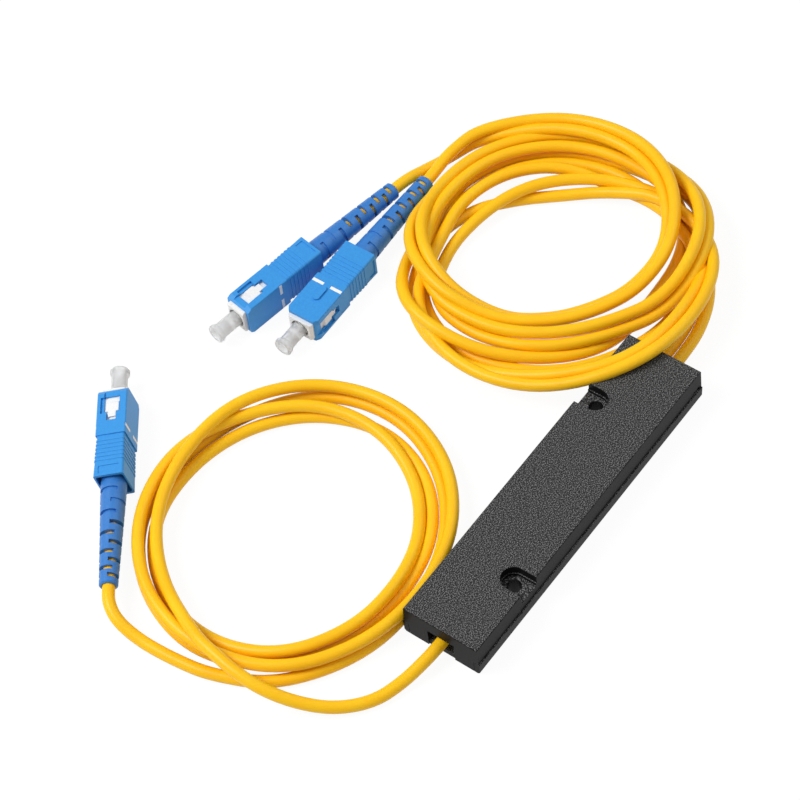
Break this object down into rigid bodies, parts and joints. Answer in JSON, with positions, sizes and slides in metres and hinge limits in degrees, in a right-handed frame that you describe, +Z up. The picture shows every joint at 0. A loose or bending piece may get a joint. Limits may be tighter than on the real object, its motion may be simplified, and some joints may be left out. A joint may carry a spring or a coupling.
{
  "type": "plc fibre splitter",
  "caption": "Slim black splitter box with coiled yellow fibre cords that end in blue push-pull plugs with dust caps.",
  "frame": {"origin": "centre of the underside of the box", "axes": "+X along the box from the input end to the output end, +Y across it, +Z up"},
  "size_m": [0.1804, 0.1194, 0.013],
  "materials": {
    "box_moulding": "spark-eroded black",
    "sleeve_steel": "drawn",
    "sleeve_plug": "satin",
    "silica": "polished",
    "fibre_tube": "satin",
    "cord": "satin cord jacket",
    "plug_housing": "satin",
    "plug_frame": "satin white",
    "ferrule": "polished ceramic",
    "plug_metal": "nickel plated",
    "spring_steel": "drawn wire",
    "boot": "satin",
    "dust_cap": "translucent"
  },
  "bodies": {
    "box_and_cords": {"top_cover": "box_moulding", "base_tray": "box_moulding", "splitter_sleeve": "sleeve_steel", "sleeve_input_plug": "sleeve_plug", "sleeve_output_plug": "sleeve_plug", "splitter_chip": "silica", "input_fibre_block": "silica", "output_fibre_block": "silica", "input_fibre_tube": "fibre_tube", "output_fibre_tube_1": "fibre_tube", "output_fibre_tube_2": "fibre_tube", "input_anchor": "plug_metal", "output_anchor": "plug_metal", "input_lead": "cord", "input_coil": "cord", "input_tail": "cord", "output_lead_1": "cord", "output_lead_2": "cord", "output_coil": "cord", "output_tail_1": "cord", "output_tail_2": "cord", "plug_1_frame": "plug_frame", "plug_1_body": "plug_metal", "plug_1_crimp": "plug_metal", "plug_1_boot": "boot", "plug_1_spring": "spring_steel", "plug_2_frame": "plug_frame", "plug_2_body": "plug_metal", "plug_2_crimp": "plug_metal", "plug_2_boot": "boot", "plug_2_spring": "spring_steel", "plug_3_frame": "plug_frame", "plug_3_body": "plug_metal", "plug_3_crimp": "plug_metal", "plug_3_boot": "boot", "plug_3_spring": "spring_steel"},
    "plug_1_outer_housing": {"plug_1_housing": "plug_housing"},
    "plug_1_ferrule_group": {"plug_1_ferrule": "ferrule", "plug_1_ferrule_holder": "plug_metal"},
    "plug_1_dust_cap": {"plug_1_cap": "dust_cap"},
    "plug_2_outer_housing": {"plug_2_housing": "plug_housing"},
    "plug_2_ferrule_group": {"plug_2_ferrule": "ferrule", "plug_2_ferrule_holder": "plug_metal"},
    "plug_2_dust_cap": {"plug_2_cap": "dust_cap"},
    "plug_3_outer_housing": {"plug_3_housing": "plug_housing"},
    "plug_3_ferrule_group": {"plug_3_ferrule": "ferrule", "plug_3_ferrule_holder": "plug_metal"},
    "plug_3_dust_cap": {"plug_3_cap": "dust_cap"}
  },
  "joints": [
    {"name": "plug_1_housing_slide", "type": "slide", "parent": "box_and_cords", "child": "plug_1_outer_housing", "axis": [-0.7986, -0.6018, 0], "range_m": [0, 0.0012]},
    {"name": "plug_1_ferrule_slide", "type": "slide", "parent": "box_and_cords", "child": "plug_1_ferrule_group", "axis": [-0.7986, -0.6018, 0], "range_m": [0, 0.001], "stiffness_N_per_m": 800, "deforming": ["plug_1_spring"]},
    {"name": "plug_1_cap_slide", "type": "slide", "parent": "plug_1_ferrule_group", "child": "plug_1_dust_cap", "axis": [0.7986, 0.6018, 0], "range_m": [0, 0.009]},
    {"name": "plug_2_housing_slide", "type": "slide", "parent": "box_and_cords", "child": "plug_2_outer_housing", "axis": [0.9874, -0.1582, 0], "range_m": [0, 0.0012]},
    {"name": "plug_2_ferrule_slide", "type": "slide", "parent": "box_and_cords", "child": "plug_2_ferrule_group", "axis": [0.9874, -0.1582, 0], "range_m": [0, 0.001], "stiffness_N_per_m": 800, "deforming": ["plug_2_spring"]},
    {"name": "plug_2_cap_slide", "type": "slide", "parent": "plug_2_ferrule_group", "child": "plug_2_dust_cap", "axis": [-0.9874, 0.1582, 0], "range_m": [0, 0.009]},
    {"name": "plug_3_housing_slide", "type": "slide", "parent": "box_and_cords", "child": "plug_3_outer_housing", "axis": [0.9998, 0.0175, 0], "range_m": [0, 0.0012]},
    {"name": "plug_3_ferrule_slide", "type": "slide", "parent": "box_and_cords", "child": "plug_3_ferrule_group", "axis": [0.9998, 0.0175, 0], "range_m": [0, 0.001], "stiffness_N_per_m": 800, "deforming": ["plug_3_spring"]},
    {"name": "plug_3_cap_slide", "type": "slide", "parent": "plug_3_ferrule_group", "child": "plug_3_dust_cap", "axis": [-0.9998, -0.0175, 0], "range_m": [0, 0.009]}
  ]
}
